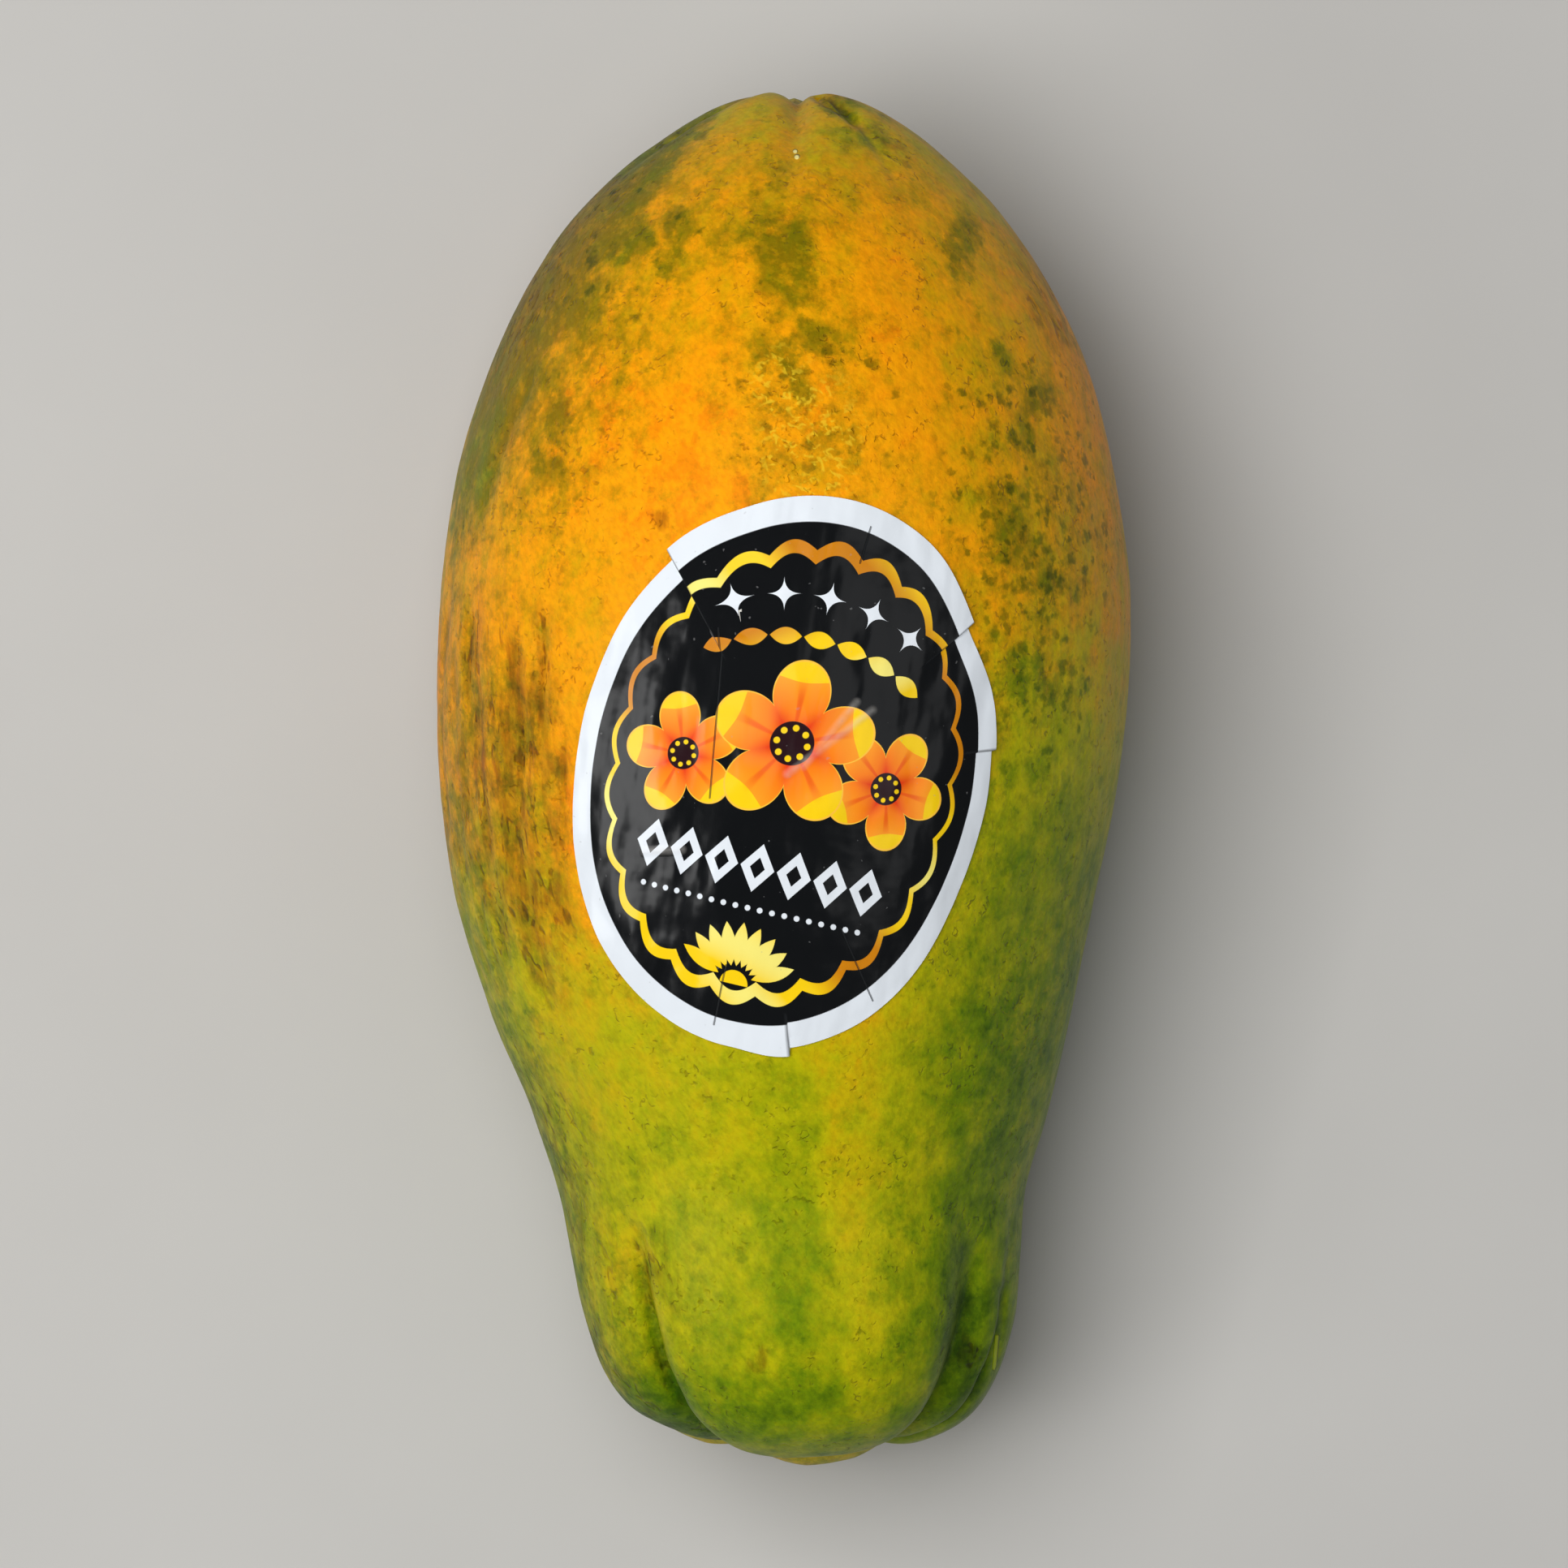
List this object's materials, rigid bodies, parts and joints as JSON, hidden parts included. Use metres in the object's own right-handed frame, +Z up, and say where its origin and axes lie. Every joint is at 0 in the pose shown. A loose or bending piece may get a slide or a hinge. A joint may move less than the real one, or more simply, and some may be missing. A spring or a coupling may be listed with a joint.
{
  "type": "papaya",
  "caption": "Large ripening papaya lying on its side, pear-shaped, with soft lobes at the stem end, a furrowed blossom end and an oval stick-on label.",
  "frame": {"origin": "on the surface that the fruit lies on, under the middle of its outline seen from above", "axes": "+Y along the fruit towards its blossom end, +Z up through the label, +X to the right seen from above with the blossom end on top"},
  "size_m": [0.126, 0.2507, 0.1167],
  "materials": {
    "skin": "waxy, half matt, ripening from green to orange, with freckles and blotches",
    "label": "glossy printed film, black with a white rim and a gold line"
  },
  "bodies": {
    "root": {"fruit": "skin", "label": "label"}
  },
  "joints": []
}
